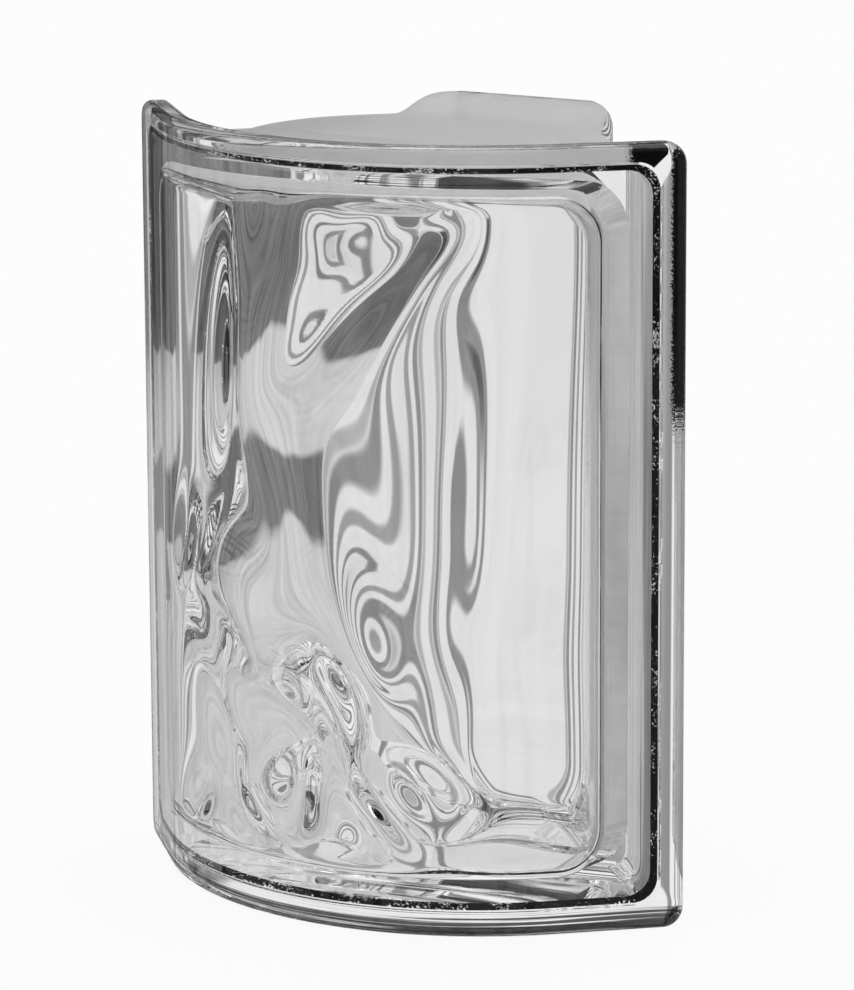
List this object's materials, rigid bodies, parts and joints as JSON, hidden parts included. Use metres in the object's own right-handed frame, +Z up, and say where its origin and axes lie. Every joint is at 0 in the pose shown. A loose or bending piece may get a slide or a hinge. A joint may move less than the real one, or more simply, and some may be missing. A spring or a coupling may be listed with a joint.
{
  "type": "corner glass block",
  "caption": "Hollow glass block with a tall wavy face bent round a right-angled corner, a flange round it, a narrow flat back and a mortar channel on its edges.",
  "frame": {"origin": "middle of the bounding box in plan, on the plane that the bottom edges of the flange and of the rear rim stand on", "axes": "+Z up the height of the block, +X along the seam from the left end to the right end, +Y from the bent outer face to the narrow rear face"},
  "size_m": [0.1562, 0.1026, 0.19],
  "materials": {
    "glass": "clear pressed soda-lime glass, fire polished, with a matt pale coating on the mortar channel"
  },
  "bodies": {
    "root": {"outer_half_shell": "glass", "inner_half_shell": "glass"}
  },
  "joints": []
}
